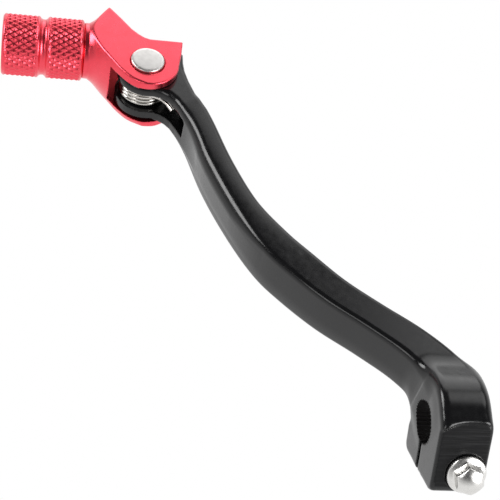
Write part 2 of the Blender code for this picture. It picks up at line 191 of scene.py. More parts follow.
# Toe piece, about the pivot pin's axis.
PIN_RADIUS = 4.0
PIN_HEAD_RADIUS = 5.8
CHEEK_THICKNESS = 2.7
CHEEK_RADIUS = 11.0
CHEEK_FRONT = 11.4
LOWER_CHEEK_WIDER = 0.5
TIP_EDGE = 0.5
THROAT = 12.5
THROAT_CORNER = 2.8
THROAT_LOWER_CORNER = 0.8
NECK_RADIUS = 9.8
NECK_GAP = 0.04
SPIGOT_HALF = 5.0
SPIGOT = (15.3, 40.7)
STOP = ((9.61, 11.35), (-12.3, -4.5))

# Peg. The knurl's diamonds repeat KNURL_TEETH times round, and every KNURL_PITCH along.
PEG_RADIUS = 10.8
PEG_BORE = 7.3
PEG_SHORT = 0.5
PEG_GROOVE = (34.6, 36.9)
PEG_GROOVE_DEPTH = 1.1
KNURL_TEETH = 33
KNURL_PITCH = 3.45
KNURL_DEPTH = 0.5
KNURL_RIM = 0.9
KNURL_FADE = 0.4

# Torsion spring.
WIRE = 1.5
COIL_RADIUS = 7.85
COIL_LOW = -0.3
COIL_HIGH = 4.75
LEG_REACH = 8.6
LEG_BEND = 1.6
COIL_START = math.radians(90)
COIL_END = math.radians(172 + 3 * 360)

# Small fastenings.
GAP = 0.3
WASHER_RADII = (4.3, 7.2)
RING_RADII = (3.5, 5.7)
RING_OPENING = math.radians(25)
RING_EYE = (4.75, 2.9)
SCREW_HEAD_RADIUS = 5.0
SCREW_HEAD_HEIGHT = 4.8
SCREW_RADIUS = 3.0
SCREW_SOCKET = 5.0
SOCKET_DEPTH = 3.0

# Camera: where it stands, and which way is right and up in its picture.
CAMERA_PLACE = Vector((-0.18485, 0.12258, 0.31385))
CAMERA_RIGHT = Vector((-0.06539, -0.98187, 0.17790))
CAMERA_UP = Vector((0.79128, 0.05760, 0.60874))
CAMERA_LENS = 90.0

# Floor: how far it reaches each way, in metres, and how far it lies below the CAD, in millimetres.
FLOOR_REACH = 4.0
FLOOR_DROP = 0.5

# Light: the dim room; glows as (direction, bright within, faded out beyond, brightness), in degrees;
# and softboxes as (name, direction, half their width and height in degrees, brightness).
ROOM = 0.06
GLOWS = [
    ((0.90, -0.12, 0.42), 19, 26, 1.9),
    ((0.41, -0.52, 0.75), 10, 20, 2.1),
    ((0.0, 0.0, -1.0), 97, 124, 0.6),
]
SOFTBOXES = [
    ("left_front_softbox", (0.34, 0.72, 0.60), (18, 12), 9.0),
    ("left_rear_softbox", (-0.52, 0.60, 0.61), (10, 12), 3.5),
    ("right_softbox", (-0.55, -0.68, 0.48), (19, 19), 8.0),
]


# ---------------------------------------------------------------- distance fields


def smooth_min(a, b, k):
    h = np.clip(0.5 + 0.5 * (b - a) / k, 0, 1)
    return b + (a - b) * h - k * h * (1 - h)


def smooth_max(a, b, k):
    return -smooth_min(-a, -b, k)


def ramp(value, start, end):
    """0 up to start, 1 from end on, and straight between."""
    return np.clip((value - start) / (end - start), 0, 1)


def slab(value, low, high):
    """Signed distance to the stretch between two places on an axis."""
    return np.abs(value - (low + high) / 2) - (high - low) / 2


def hexagon(u, v, across_flats, turn=0.0):
    """Distance outside the nearest side of a hexagon about the origin."""
    turns = (turn, turn + math.pi / 3, turn + 2 * math.pi / 3)
    sides = [np.abs(u * math.cos(a) + v * math.sin(a)) for a in turns]
    return np.maximum(np.maximum(sides[0], sides[1]), sides[2]) - across_flats / 2


def between(pair, share):
    """The value that lies a share of the way from the first of a pair to the second."""
    return pair[0] + (pair[1] - pair[0]) * share


def both(a, b, radius):
    """What lies in both, with the outer edge between them rounded."""
    a, b = a + radius, b + radius
    return np.minimum(np.maximum(a, b), 0) + np.hypot(np.maximum(a, 0), np.maximum(b, 0)) - radius


def polygon(x, y, outline):
    """Signed distance to a closed outline."""
    nearest = np.full(np.broadcast(x, y).shape, 1e9)
    inside = np.zeros(nearest.shape, bool)
    for (ax, ay), (bx, by) in zip(outline, outline[1:] + outline[:1]):
        ex, ey = bx - ax, by - ay
        t = np.clip(((x - ax) * ex + (y - ay) * ey) / (ex * ex + ey * ey), 0, 1)
        nearest = np.minimum(nearest, np.hypot(x - ax - t * ex, y - ay - t * ey))
        if ay != by:
            inside ^= ((ay > y) != (by > y)) & (x < ax + (y - ay) * ex / ey)
    return np.where(inside, -nearest, nearest)


def arc(centre, radius, start, end, steps):
    """Points on a circle, from one angle to another in degrees."""
    angles = np.radians(np.linspace(start, end, steps + 1))
    return [(centre[0] + radius * math.cos(a), centre[1] + radius * math.sin(a)) for a in angles]


def smooth(points, steps):
    """Rows on a Catmull-Rom curve through the given ones, steps to each stretch."""
    rows = np.array(points, float)
    rows = np.vstack([2 * rows[0] - rows[1], rows, 2 * rows[-1] - rows[-2]])
    made = []
    for a, b, c, d in zip(rows, rows[1:], rows[2:], rows[3:]):
        for t in np.arange(steps) / steps:
            square, cube = 2 * a - 5 * b + 4 * c - d, 3 * b - a - 3 * c + d
            made.append((2 * b + (c - a) * t + square * t**2 + cube * t**3) / 2)
    return np.array(made + [rows[-2]])


def net(field, low, high, step):
    """Vertices and quads where a field crosses zero inside a box."""
    axes = [np.arange(a - step, b + 2 * step, step) for a, b in zip(low, high)]
    x, y, z = axes[0][:, None, None], axes[1][None, :, None], axes[2][None, None, :]
    value = field(x, y, z).astype(np.float32)
    inside = value < 0
    shape = tuple(n - 1 for n in value.shape)
    corners = [(i, j, k) for i in (0, 1) for j in (0, 1) for k in (0, 1)]

    def corner(grid, c):
        return grid[c[0]:c[0] + shape[0], c[1]:c[1] + shape[1], c[2]:c[2] + shape[2]]

    count = sum(corner(inside, c).astype(np.int8) for c in corners)
    cells = np.argwhere((count > 0) & (count < 8))
    number = np.full(shape, -1)
    number[tuple(cells.T)] = np.arange(len(cells))
    total = np.zeros((len(cells), 3))
    hits = np.zeros(len(cells))
    for a in corners:
        for axis in range(3):
            if a[axis]:
                continue
            b = tuple(1 if n == axis else a[n] for n in range(3))
            va = value[tuple((cells + a).T)]
            vb = value[tuple((cells + b).T)]
            crossed = (va < 0) != (vb < 0)
            t = np.where(crossed, va / np.where(va == vb, 1, va - vb), 0)
            place = np.tile(np.array(a, float), (len(cells), 1))
            place[:, axis] = t
            total += np.where(crossed[:, None], place, 0)
            hits += crossed
    points = (cells + total / hits[:, None]) * step + [a[0] for a in axes]
    quads = []
    for axis in range(3):
        u, v = (axis + 1) % 3, (axis + 2) % 3
        first = np.take(inside, range(inside.shape[axis] - 1), axis)
        second = np.take(inside, range(1, inside.shape[axis]), axis)
        edges = np.argwhere(first != second)
        edges = edges[(edges[:, u] > 0) & (edges[:, v] > 0)]
        edges = edges[(edges[:, u] < shape[u]) & (edges[:, v] < shape[v])]
        leaving = first[tuple(edges.T)]
        ring = []
        for du, dv in ((1, 1), (0, 1), (0, 0), (1, 0)):
            cell = edges.copy()
            cell[:, u] -= du
            cell[:, v] -= dv
            ring.append(number[tuple(cell.T)])
        ring = np.stack(ring, 1)
        quads.append(np.where(leaving[:, None], ring, ring[:, ::-1]))
    return points, np.vstack(quads)


def gradient(field, points, reach=0.02):
    rows = []
    for axis in range(3):
        ahead, behind = points.copy(), points.copy()
        ahead[:, axis] += reach
        behind[:, axis] -= reach
        rows.append((field(*ahead.T) - field(*behind.T)) / (2 * reach))
    return np.stack(rows, 1)


def settle_on(field, points, step, rounds=3):
    """Moves vertices onto the surface itself, by no more than half a cell."""
    start = points.copy()
    for _ in range(rounds):
        slope = gradient(field, points)
        size = np.maximum((slope**2).sum(1), 0.05)
        points = points - slope * (field(*points.T) / size)[:, None]
        shift = points - start
        far = np.linalg.norm(shift, axis=1)
        points = start + shift * np.minimum(1, 0.8 * step / np.maximum(far, 1e-9))[:, None]
    return points


# ---------------------------------------------------------------- meshes


def mesh_piece(name, points, faces, sharp=None):
    """An object from points in millimetres, shaded smooth."""
    mesh = bpy.data.meshes.new(name)
    mesh.from_pydata((np.asarray(points) * MM).tolist(), [], [list(map(int, f)) for f in faces])
    mesh.update()
    mesh.shade_smooth()
    if sharp is not None:
        mesh.set_sharp_from_angle(angle=math.radians(sharp))
    piece = bpy.data.objects.new(name, mesh)
    bpy.context.scene.collection.objects.link(piece)
    return piece


def sculpt(name, field, low, high, step, sharp=None):
    """An object drawn where a field crosses zero."""
    points, quads = net(field, low, high, step)
    points = settle_on(field, points, step)
    return mesh_piece(name, points, quads, sharp)


def turned(name, profile, origin, axis, sides, shape=None):
    """A closed profile of (radius, height) rows turned about an axis through origin.
    shape, if given, changes the radius of every point from its angle and height."""
    rows = np.array(profile, float)
    angles = np.arange(sides) * math.tau / sides
    radius = np.repeat(rows[:, :1], sides, 1)
    height = np.repeat(rows[:, 1:2], sides, 1)
    if shape:
        radius = shape(radius, height, angles[None, :])
    across, over = radius * np.cos(angles), radius * np.sin(angles)
    order = {"z": (across, over, height), "y": (over, height, across)}[axis]
    points = np.stack(order, -1).reshape(-1, 3) + origin
    faces = []
    closed = rows[0, 0] > 0
    for i in range(len(rows) - (0 if closed else 1)):
        j = (i + 1) % len(rows)
        for s in range(sides):
            t = (s + 1) % sides
            faces.append([i * sides + s, i * sides + t, j * sides + t, j * sides + s])
    piece = mesh_piece(name, points, faces, 50)
    weld(piece)
    return piece


def weld(piece):
    """Merges the points that lie together on the axis, and drops faces left without area."""
    bm = bmesh.new()
    bm.from_mesh(piece.data)
    bmesh.ops.remove_doubles(bm, verts=bm.verts, dist=1e-7)
    bmesh.ops.dissolve_degenerate(bm, edges=bm.edges, dist=1e-8)
    bmesh.ops.recalc_face_normals(bm, faces=bm.faces)
    bm.to_mesh(piece.data)
    bm.free()


def tube(name, route, radius, sides=16):
    """A round wire along a route, with closed ends."""
    route = np.array(route, float)
    heading = np.gradient(route, axis=0)
    heading /= np.linalg.norm(heading, axis=1)[:, None]
    side = np.array([0.0, 1.0, 0.0])
    points = []
    for place, ahead in zip(route, heading):
        side = side - ahead * (side @ ahead)
        side /= np.linalg.norm(side)
        up = np.cross(ahead, side)
        angles = np.arange(sides) * math.tau / sides
        points.append(place + radius * (np.outer(np.cos(angles), side) + np.outer(np.sin(angles), up)))
    points = np.vstack(points)
    faces = []
    for i in range(len(route) - 1):
        for s in range(sides):
            t = (s + 1) % sides
            faces.append([i * sides + s, i * sides + t, (i + 1) * sides + t, (i + 1) * sides + s])
    last = (len(route) - 1) * sides
    faces += [list(range(sides))[::-1], list(range(last, last + sides))]
    return mesh_piece(name, points, faces, 40)


# ---------------------------------------------------------------- the lever's own shapes

LINE = smooth(BAR, BAR_STEPS)


def bar_plan(x, y):
    """Distance across from the bar's centre line, outboard positive, and the place along it."""
    nearest = np.full(np.broadcast(x, y).shape, 1e9)
    across = np.zeros(nearest.shape)
    station = np.zeros(nearest.shape)
    for i, (a, b) in enumerate(zip(LINE, LINE[1:])):
        ex, ey = b[0] - a[0], b[1] - a[1]
        t = np.clip(((x - a[0]) * ex + (y - a[1]) * ey) / (ex * ex + ey * ey), 0, 1)
        dx, dy = x - a[0] - t * ex, y - a[1] - t * ey
        distance = np.hypot(dx, dy)
        closer = distance < nearest
        nearest = np.where(closer, distance, nearest)
        across = np.where(closer, np.sign(ex * dy - ey * dx) * distance, across)
        station = np.where(closer, i + t, station)
    return across, station


def fork_outline():
    """The fork from above, from its front edge round the outboard side and back along the inboard."""
    outline = [(EAR_FRONT, -EAR_INBOARD), (EAR_FRONT, 4.0)]
    outline += arc((0, -EAR_INSET), EAR_RADIUS, 30, 192, 20)
    outline += [(-11.2, -5.2), (-12.4, -7.2), (-14.4, -9.1), (-17.2, -10.9), (-20.6, -12.5)]
    outline += [(-24.5, -14.3), (-30.5, -16.9), (-38.0, -20.6), (-36.5, -23.2), (-28.0, -22.5)]
    return outline + [(-17.0, -20.3), (-11.0, -17.4), (-4.0, -14.9), (1.0, -13.6), (5.0, -EAR_INBOARD)]


def fork_slot_outline():
    """The slot between the ears from above, with room at its back for the spring's leg."""
    floor = COIL_RADIUS + WIRE / 2 + 1.2
    outline = [(18, -24), (18, 16), (-16, 16), (-24, -5), (-21.0, -14.0), (-19.0, -15.9), (-14.0, -15.0)]
    return outline + [(-floor, -13.0), (-floor, -24)]


def clamp_axes(x, z):
    """Distance along the bolt's axis, towards its head, and down the clamp's slot."""
    return x * CLAMP_E[0] + z * CLAMP_E[2], x * CLAMP_K[0] + z * CLAMP_K[2]


def eye_field(x, y, z):
    """The clamp's eye: a barrel round the shaft with the two jaws below it."""
    e, k = clamp_axes(x, z)
    barrel = smooth_max(np.hypot(e, k) - EYE_RADIUS, EYE_FLAT - e, 3.0)
    near = both(slab(e, 0, NEAR_JAW), slab(k, -NEAR_JAW_TOP, CLAMP_DEPTH), NEAR_JAW_CORNER)
    far = both(slab(e, -FAR_JAW, FAR_JAW_INNER), slab(k, FAR_JAW_TOP, CLAMP_DEPTH), FAR_JAW_CORNER)
    outline = smooth_min(smooth_min(near, far, SHARP_BLEND), barrel, BARREL_BLEND)
    over_shaft = between(EYE_TOP_EDGE, ramp(-y, 0, CLAMP_WIDTH))
    edge = between((CLAMP_EDGE, over_shaft), ramp(-k, 0, 10))
    return both(outline, slab(y, -CLAMP_WIDTH, 0), edge)


def bar_and_fork(x, y, z):
    """The bar along its centre line and the fork at its end, under one crowned top."""
    across, station = bar_plan(x, y)
    index = np.arange(len(LINE))
    half = np.interp(station, index, LINE[:, 2]) / 2
    under = np.interp(station, index, LINE[:, 3])
    to_fork, to_toe = ramp(station, *BAR_MEETS_FORK), ramp(station, *BAR_WIDENS)
    outboard = np.clip(0.5 + across / half, 0, 1)

    # The sides swell outboard near the toe, and tuck in towards the underside.
    swell = BAR_SWELL * to_toe * (1 - ramp(station, *BAR_NARROWS)) * outboard * ramp(z, -5, 5)
    tuck = (1 - to_fork) * np.clip(under + BAR_TUCK_HEIGHT - z, 0, 20) ** 2 / BAR_TUCK_CURVE
    bar = both(np.abs(across) - half + tuck - swell, under - z, between(BAR_LOWER_EDGE, to_fork))
    ears = both(polygon(x - PIVOT[0], y - PIVOT[1], fork_outline()), EAR_BOTTOM - z, FORK_EDGE)

    # The top is crowned across, and its edge is roundest outboard near the toe.
    crown = between(BAR_CROWN, ramp(station, *BAR_CROWNS)) * np.clip(across / half, -1.2, 1.2) ** 2
    top = z - between((BAR_TOP, EAR_TOP), to_fork) + crown * (1 - to_fork)
    top_edge = between(BAR_TOP_EDGE, to_toe * (1 - 0.6 * to_fork) * outboard)
    top_edge = top_edge + 1.2 * (1 - ramp(station, *BAR_LEAVES_CLAMP))
    return both(smooth_min(bar, ears, FORK_BLEND), top, top_edge)


def arm_field(x, y, z):
    """The forging: bar, fork and eye, then what is cut from them."""
    solid = smooth_min(bar_and_fork(x, y, z), eye_field(x, y, z), EYE_BLEND)

    # The clamp's two flat faces. The outboard one sweeps out into the bar.
    run = np.maximum(x - FACE_END, 0)
    blend = SHARP_BLEND + 0.4 * np.minimum(run, 8)
    outer_face = (y - FACE_CURVE * run**2) / np.sqrt(1 + (2 * FACE_CURVE * run) ** 2)
    solid = smooth_max(solid, outer_face - (blend - SHARP_BLEND) / 4, blend)
    solid = smooth_max(solid, -CLAMP_WIDTH - y, SHARP_BLEND)

    # The bolt's seat and hole, and the clamp's slot.
    e, k = clamp_axes(x, z)
    from_bolt = np.hypot(k - BOLT_DEPTH, y + BOLT_INSET)
    spot_face = both(SEAT - e, from_bolt - SPOT_FACE_RADIUS, 0.6)
    solid = both(solid, -spot_face, SPOT_FACE_EDGE)
    under_flange = np.maximum(SEAT - GAP - e, from_bolt - FLANGE_RADIUS - 0.25)
    solid = np.maximum(solid, -under_flange)
    solid = np.maximum(solid, BOLT_RADIUS + GAP - np.where(k > 0, from_bolt, 99))
    clamp_slot = np.maximum(np.abs(e) - CLAMP_SLOT / 2, -k)
    solid = smooth_max(solid, -clamp_slot, 0.4)

    # The fork's slot, and the hole for the bushes.
    px, py = x - PIVOT[0], y - PIVOT[1]
    slot = both(polygon(px, py, fork_slot_outline()), slab(z, SLOT_BOTTOM, SLOT_TOP), SLOT_EDGE)
    solid = smooth_max(solid, -slot, 0.3)
    return np.maximum(solid, BUSH_HOLE - np.hypot(px, py))


def splined_bore():
    """The cutter for the bore, with a tooth space for each serration of the shaft."""
    count = 2 * SPLINE_TEETH
    angles = np.arange(count) * math.tau / count
    radius = np.where(np.arange(count) % 2, BORE_RADIUS, BORE_RADIUS - SPLINE_DEPTH)
    across, over = radius * np.cos(angles), radius * np.sin(angles)
    rings = [np.stack([across, np.full(count, y), over], 1) for y in (1.0, -CLAMP_WIDTH - 1)]
    faces = [[i, (i + 1) % count, count + (i + 1) % count, count + i] for i in range(count)]
    faces += [list(range(count))[::-1], list(range(count, 2 * count))]
    return mesh_piece("bore_cutter", np.vstack(rings), faces)


def cut(piece, cutter):
    """Cuts the cutter away from the piece, and removes it."""
    modifier = piece.modifiers.new("cut", "BOOLEAN")
    modifier.operation = "DIFFERENCE"
    modifier.solver = "MANIFOLD"
    modifier.object = cutter
    bpy.context.view_layer.update()
    shown = piece.evaluated_get(bpy.context.evaluated_depsgraph_get())
    mesh = bpy.data.meshes.new_from_object(shown)
    piece.modifiers.clear()
    piece.data = mesh
    bpy.data.objects.remove(cutter, do_unlink=True)


# The clevis's flare: (distance from the pivot along the peg's axis, radius about that axis).
FLARE = [(20.0, NECK_RADIUS), (18.0, 11.2), (15.5, 13.8), (12.4, 17.2), (9.0, 21.3), (5.0, 24.8)]
FLARE = smooth(FLARE + [(0.0, 27.0)], 6)[::-1]
FLARE_STEEPNESS = 1.4


def cheek_outline():
    """The cheeks from above. The flare, not this outline, bounds them towards the peg."""
    outline = [(CHEEK_FRONT, -12.6), (CHEEK_FRONT + 0.1, -1.2)]
    outline += [(12.2, 0.8), (13.6, 2.8), (15.9, 5.2), (21.2, 9.1), (26.1, 13.0), (34.0, 19.3)]
    outline += [(34.0, 30.0), (-20.0, 30.0), (-20.0, 2.5)]
    outline += arc((0, 0), CHEEK_RADIUS, 167, 268, 16)
    return outline + [(5.9, -12.1)]


def tip_field(x, y, z):
    """The clevis: a turned flare cut to two cheeks, with the spigot that holds the peg."""
    px, py = x - PIVOT[0], y - PIVOT[1]
    low, high = TIP_LOW[2], TIP_HIGH[2]
    middle = (high + low) / 2

    # The body: a flare turned about the peg's axis, milled to two cheeks with a throat between.
    flare = np.hypot(x - PEG_X, z - PEG_Z) - np.interp(py, FLARE[:, 0], FLARE[:, 1])
    flare = flare / FLARE_STEEPNESS
    solid = smooth_max(flare, slab(z, low, high), TIP_EDGE)
    wider = LOWER_CHEEK_WIDER * ramp(middle - z, 0, 4)
    solid = smooth_max(solid, polygon(px, py, cheek_outline()) - wider, TIP_EDGE)
    solid = smooth_max(solid, y - PEG_LOW[1] + NECK_GAP, 0.4)
    corner = np.where(z > middle, THROAT_CORNER, THROAT_LOWER_CORNER)
    throat = both(py - THROAT, slab(z, low + CHEEK_THICKNESS, high - CHEEK_THICKNESS), corner)
    solid = smooth_max(solid, -throat, 0.2)

    # What is added: the stop between the cheeks, and the square spigot.
    stop = both(slab(px, *STOP[0]), slab(py, *STOP[1]), 0.3)
    solid = smooth_min(solid, np.maximum(stop, slab(z, low + 1.0, high - 1.0)), 0.8)
    square = both(np.abs(x - PEG_X) - SPIGOT_HALF, np.abs(z - PEG_Z) - SPIGOT_HALF, 0.8)
    solid = np.minimum(solid, both(square, slab(py, *SPIGOT), 0.5))

    # The pin's hole with the recess for its head, and the hole for the spring's leg.
    from_pin = np.hypot(px, py)
    solid = np.maximum(solid, PIN_RADIUS + GAP - from_pin)
    recess = np.maximum(high - GAP - z, from_pin - PIN_HEAD_RADIUS - GAP)
    solid = smooth_max(solid, -recess, 0.15)
    leg_hole = np.maximum(np.hypot(px - LEG_REACH, py - COIL_RADIUS) - WIRE / 2 - GAP, z)
    return np.maximum(solid, -leg_hole)


def bolt_field(x, y, z):
    """Flange bolt with a domed hexagon head."""
    e, k = clamp_axes(x, z)
    u, v = k - BOLT_DEPTH, y + BOLT_INSET
    radius = np.hypot(u, v)
    up = e - SEAT
    shank = both(radius - BOLT_RADIUS, slab(e, *BOLT_LENGTH), 0.5)
    cone = (radius - BOLT_HEX / 2) * 0.42 + up - 2.0
    flange = both(both(radius - FLANGE_RADIUS, cone, 0.35), -up, 0.15)
    dome = np.sqrt(radius**2 + (up + 0.2) ** 2) - BOLT_DOME
    head = smooth_max(hexagon(u, v, BOLT_HEX, BOLT_TURN), dome, 0.25)
    return smooth_min(np.minimum(shank, flange), np.maximum(head, -up), 0.5)


def knurl(radius, height, angle):
    """Two crossed families of V grooves, fading out before each band's smooth rims."""
    along = height - PEG_LOW[1]
    groove_start, groove_end = (g + PIVOT[1] - PEG_LOW[1] for g in PEG_GROOVE)
    length = PEG_HIGH[1] - PEG_SHORT - PEG_LOW[1]
    bands = ((KNURL_RIM, groove_start - KNURL_RIM), (groove_end + KNURL_RIM, length - 1.0))
    share = np.zeros(height.shape)
    for start, end in bands:
        share = np.maximum(share, np.clip(np.minimum(along - start, end - along) / KNURL_FADE, 0, 1))
    share = np.where(radius > PEG_RADIUS - 0.02, share, 0)
    around = angle * KNURL_TEETH / math.tau
    depth = np.zeros(np.broadcast(height, angle).shape)
    for way in (1, -1):
        phase = around + way * along / KNURL_PITCH
        groove = 1 - 2 * np.abs(phase - np.floor(phase) - 0.5)
        depth = np.maximum(depth, np.clip(1.12 * (1 - groove), 0, 1))
    return radius - share * KNURL_DEPTH * depth


def peg_profile():
    """Closed profile of the peg about its axis: (radius, y)."""
    start, end = PEG_LOW[1], PEG_HIGH[1] - PEG_SHORT
    groove_start, groove_end = PEG_GROOVE[0] + PIVOT[1], PEG_GROOVE[1] + PIVOT[1]
    outer, inner = PEG_RADIUS, PEG_RADIUS - PEG_GROOVE_DEPTH
    step = KNURL_PITCH / 16
    rows = [(PEG_BORE, start), (outer - 1.4, start), (outer - 0.8, start + 0.08)]
    rows += [(outer - 0.25, start + 0.4), (outer - 0.03, start + 0.75)]
    rows += [(outer, y) for y in np.arange(start + 0.85, groove_start - 0.85, step)]
    rows += [(outer - 0.03, groove_start - 0.6), (outer - 0.25, groove_start - 0.25)]
    rows += [(outer - 0.7, groove_start + 0.05), (inner + 0.12, groove_start + 0.45)]
    rows += [(inner, groove_start + 0.9), (inner, groove_end - 0.9)]
    rows += [(inner + 0.12, groove_end - 0.45), (outer - 0.7, groove_end - 0.05)]
    rows += [(outer - 0.25, groove_end + 0.25), (outer - 0.03, groove_end + 0.6)]
    rows += [(outer, y) for y in np.arange(groove_end + 0.85, end - 1.0, step)]
    rows += [(outer - 0.03, end - 0.85), (outer - 0.25, end - 0.45), (outer - 0.8, end - 0.08)]
    rows += [(outer - 1.3, end), (6.3, end), (6.0, end - 0.3), (5.9, end - 0.6), (5.9, end - 7.3)]
    return rows + [(3.3, end - 7.3), (3.3, end - 9.5), (PEG_BORE, end - 9.5)]


def spring_route():
    """The wire's centre line: the toe piece's leg, the coils, and the arm's leg."""
    route = [(LEG_REACH, COIL_RADIUS, TIP_LOW[2] + 1.0), (LEG_REACH, COIL_RADIUS, COIL_LOW - 2.6)]
    for angle in np.radians(np.linspace(0, 90, 7)):
        along = LEG_REACH - LEG_BEND * (1 - math.cos(angle))
        route.append((along, COIL_RADIUS, COIL_LOW - LEG_BEND * (1 - math.sin(angle))))
    route += [(LEG_REACH * share, COIL_RADIUS, COIL_LOW) for share in (0.6, 0.4, 0.2)]
    for share in np.linspace(0, 1, 200):
        angle = between((COIL_START, COIL_END), share)
        height = between((COIL_LOW, COIL_HIGH), share)
        route.append((COIL_RADIUS * math.cos(angle), COIL_RADIUS * math.sin(angle), height))
    leg = [(-8.1, -1.2), (-8.5, -3.4), (-9.4, -5.4), (-11.0, -7.0), (-12.9, -8.2), (-14.9, -9.3)]
    route += [tuple(place) for place in smooth([(x, y, COIL_HIGH) for x, y in leg], 4)]
    return np.array(route) + [PIVOT[0], PIVOT[1], 0]


def pin_profile():
    """Headed pin with a groove for its retaining ring, from its lower end up."""
    low, high, seat = PIN_LOW[2], PIN_HIGH[2], TIP_HIGH[2] - 0.25
    radius, head = PIN_RADIUS, PIN_HEAD_RADIUS
    rows = [(0.0, low), (radius - 0.6, low), (radius, low + 0.6), (radius, low + 1.6)]
    rows += [(radius - 0.8, low + 1.6), (radius - 0.8, low + 2.8), (radius, low + 2.8)]
    rows += [(radius, seat), (head - 0.15, seat), (head, seat + 0.15), (head, high - 0.42)]
    rows += [(head - 0.05, high - 0.3), (head - 0.18, high - 0.16), (head - 0.42, high - 0.07)]
    return rows + [(head - 1.2, high - 0.03), (0.0, high)]


def washer_field(x, y, z):
    low, high = node_box("pin_washer")
    radius = np.hypot(x - PIVOT[0], y - PIVOT[1])
    return both(slab(radius, *WASHER_RADII), np.abs(z - (low[2] + high[2]) / 2) - 0.5, 0.15)


def ring_field(x, y, z):
    """Retaining ring with an opening and an eye on each side of it."""
    low, high = node_box("retaining_ring")
    px, py = x - PIVOT[0], y - PIVOT[1]
    radius = np.hypot(px, py)
    band = np.maximum(slab(radius, *RING_RADII), (px - radius * math.cos(RING_OPENING)) * 0.9)
    for side in (1, -1):
        eye = np.hypot(px - RING_EYE[0], py - side * RING_EYE[1])
        band = np.maximum(np.minimum(band, eye - 1.25), 0.55 - eye)
    return both(band, np.abs(z - (low[2] + high[2]) / 2) - 0.45, 0.1)


def screw_field(x, y, z):
    """Socket cap screw along the peg's axis, its head outboard."""
    low, high = node_box("peg_screw")
    bottom, top = low[1], high[1]
    radius = np.hypot(x - PEG_X, z - PEG_Z)
    head = both(radius - SCREW_HEAD_RADIUS, slab(y, top - SCREW_HEAD_HEIGHT, top), 0.35)
    shank = both(radius - SCREW_RADIUS, slab(y, bottom + 0.3, top - 0.3), 0.4)
    socket = np.maximum(hexagon(x - PEG_X, z - PEG_Z, SCREW_SOCKET), top - SOCKET_DEPTH - y)
    return smooth_max(np.minimum(head, shank), -socket, 0.2)


# ---------------------------------------------------------------- materials


def shader(name, colour, roughness, metallic=0.0, **values):
    """A Principled material. Values that hold all over are set on the shader's own sockets."""
    material = bpy.data.materials.new(name)
    material.use_nodes = True
    principled = material.node_tree.nodes["Principled BSDF"]
    principled.inputs["Base Color"].default_value = (*colour, 1)
    principled.inputs["Roughness"].default_value = roughness
    principled.inputs["Metallic"].default_value = metallic
    for socket, value in values.items():
        principled.inputs[socket.replace("_", " ")].default_value = value
    return material


def node(material, kind, **inputs):
    """Adds a node, and sets or links its inputs by name, or by number written like _0."""
    made = material.node_tree.nodes.new(kind)
    for name, value in inputs.items():
        key = int(name[1:]) if name[1:].isdigit() else name.replace("_", " ")
        socket = made.inputs[key]
        if isinstance(value, bpy.types.NodeSocket):
            material.node_tree.links.new(value, socket)
        else:
            socket.default_value = value
    return made


def coordinates(material, scale):
    """Object coordinates, which are the frame's own, stretched by a scale along each axis."""
    place = node(material, "ShaderNodeTexCoord")
    stretched = node(material, "ShaderNodeMapping", Vector=place.outputs["Object"])
    stretched.inputs["Scale"].default_value = scale
    return stretched.outputs["Vector"]


def noise(material, scale, detail=3.0, stretch=(1, 1, 1)):
    vector = coordinates(material, [scale * s for s in stretch])
    return node(material, "ShaderNodeTexNoise", Vector=vector, Scale=1.0, Detail=detail).outputs["Fac"]


def spread(material, value, low, high, start=0.3, end=0.7):
    """Maps a value between start and end to a range from low to high."""
    made = node(material, "ShaderNodeMapRange", Value=value)
    for socket, number in (("From Min", start), ("From Max", end), ("To Min", low), ("To Max", high)):
        made.inputs[socket].default_value = number
    return made.outputs["Result"]


def feed(material, socket, value):
    principled = material.node_tree.nodes["Principled BSDF"]
    material.node_tree.links.new(value, principled.inputs[socket])


def bump(material, height, distance, strength):
    made = node(material, "ShaderNodeBump", Height=height, Distance=distance, Strength=strength)
    return made.outputs["Normal"]


def tint(material, mask, first, second):
    made = node(material, "ShaderNodeMix")
    made.data_type = "RGBA"
    colours = [s for s in made.inputs if s.type == "RGBA"]
    colours[0].default_value = (*first, 1)
    colours[1].default_value = (*second, 1)
    material.node_tree.links.new(mask, made.inputs["Factor"])
    return next(s for s in made.outputs if s.type == "RGBA")


def edges(material, start=0.52, end=0.60):
    """A mask that is 1 on sharp outer edges, where a painted edge highlight goes."""
    shape = node(material, "ShaderNodeNewGeometry")
    return spread(material, shape.outputs["Pointiness"], 0.0, 1.0, start, end)


def gloss_black():
    made = shader("gloss_black", (0.005, 0.005, 0.0055), 0.2, Specular_IOR_Level=0.42)
    # Sharp outer edges are painted lighter: a painted edge highlight.
    feed(made, "Base Color", tint(made, edges(made), (0.0045, 0.0045, 0.005), (0.012, 0.012, 0.0125)))
    feed(made, "Roughness", spread(made, noise(made, 500.0), 0.16, 0.24))
    feed(made, "Normal", bump(made, noise(made, 700.0, 2.0), 0.000004, 0.6))
    return made


def machined_black():
    made = shader("machined_black", (0.006, 0.006, 0.0065), 0.3, Specular_IOR_Level=0.25)
    lines = noise(made, 1.0, 4.0, (2600.0, 60.0, 2600.0))
    colours = (0.003, 0.003, 0.0035), (0.02, 0.02, 0.0215)
    feed(made, "Base Color", tint(made, spread(made, lines, 0.0, 1.0, 0.52, 0.75), *colours))
    feed(made, "Roughness", spread(made, lines, 0.25, 0.42))
    feed(made, "Normal", bump(made, lines, 0.000012, 0.7))
    return made


def bore_black():
    made = shader("bore_black", (0.006, 0.005, 0.005), 0.5)
    feed(made, "Roughness", spread(made, noise(made, 900.0), 0.42, 0.6))
    feed(made, "Normal", bump(made, noise(made, 1500.0), 0.000005, 0.6))
    return made


